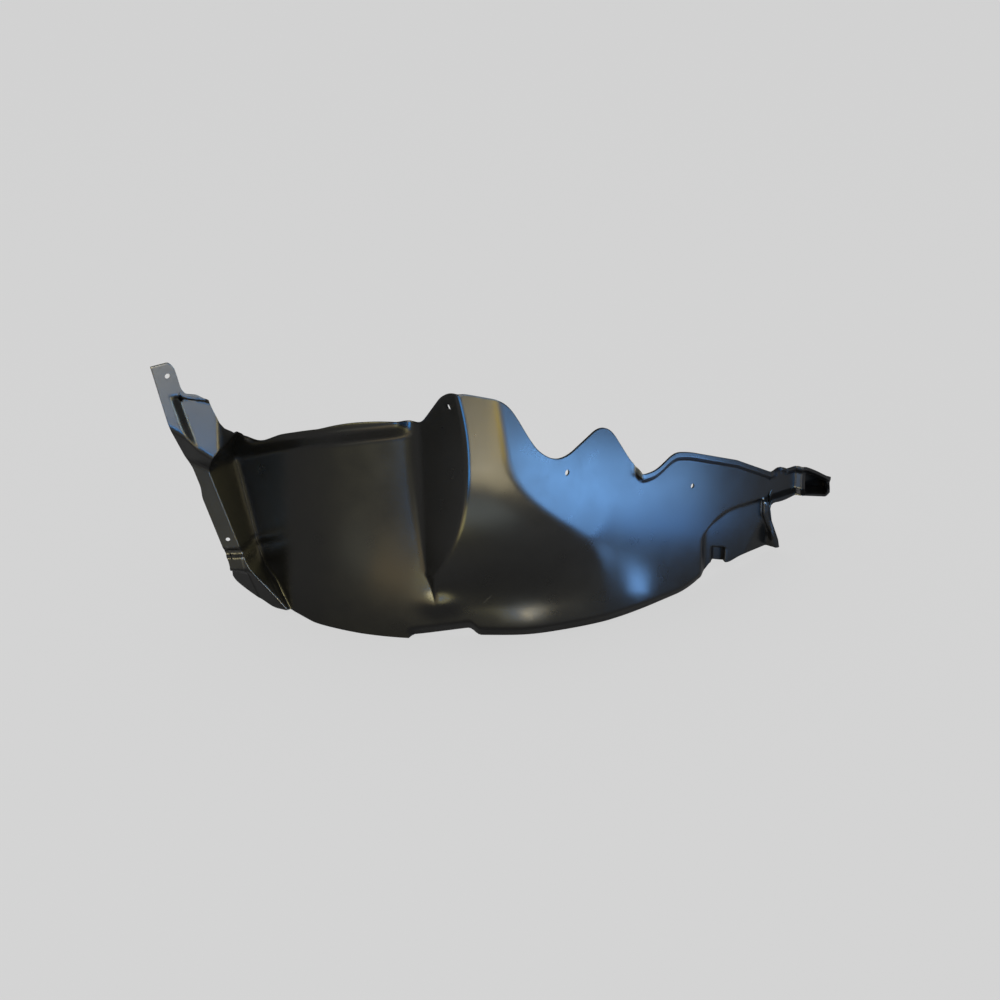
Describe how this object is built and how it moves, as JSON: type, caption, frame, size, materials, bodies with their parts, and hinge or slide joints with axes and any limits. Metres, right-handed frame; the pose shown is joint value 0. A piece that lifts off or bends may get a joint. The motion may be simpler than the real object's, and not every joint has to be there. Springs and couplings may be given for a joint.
{
  "type": "wheel arch liner",
  "caption": "Moulded black plastic liner for a wheel arch, with a ridge, a recess, a tab, an arm and screw holes.",
  "frame": {"origin": "under the middle of the liner's box, on the surface that its lower edge stands on", "axes": "+X along the vehicle towards the arm, +Y towards the wheel, +Z along the wheel's axis, away from the edge that it stands on"},
  "size_m": [0.9216, 0.4797, 0.3871],
  "materials": {
    "moulded_plastic": "satin"
  },
  "bodies": {
    "root": {"liner": "moulded_plastic"}
  },
  "joints": []
}
